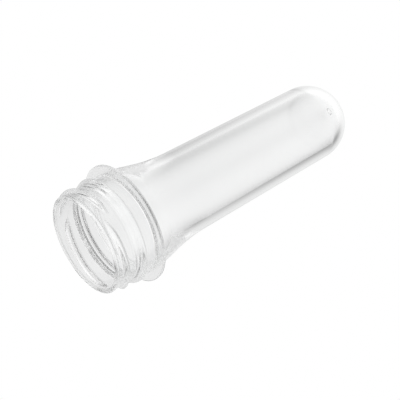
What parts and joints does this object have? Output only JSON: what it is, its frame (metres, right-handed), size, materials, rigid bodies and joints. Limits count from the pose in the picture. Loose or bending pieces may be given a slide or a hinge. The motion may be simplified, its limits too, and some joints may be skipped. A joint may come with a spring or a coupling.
{
  "type": "pet bottle preform",
  "caption": "Clear moulded bottle preform: open threaded neck with tamper bead and support ring, flare, thick tapered tube and closed round end.",
  "frame": {"origin": "centre of the open mouth, in the plane of the sealing lip", "axes": "+Z along the tube from the mouth to the closed round end; +Y through the point where one thread ridge starts"},
  "size_m": [0.042, 0.042, 0.1152],
  "materials": {
    "clear_pet": "clear, polished"
  },
  "bodies": {
    "root": {"preform": "clear_pet"}
  },
  "joints": []
}
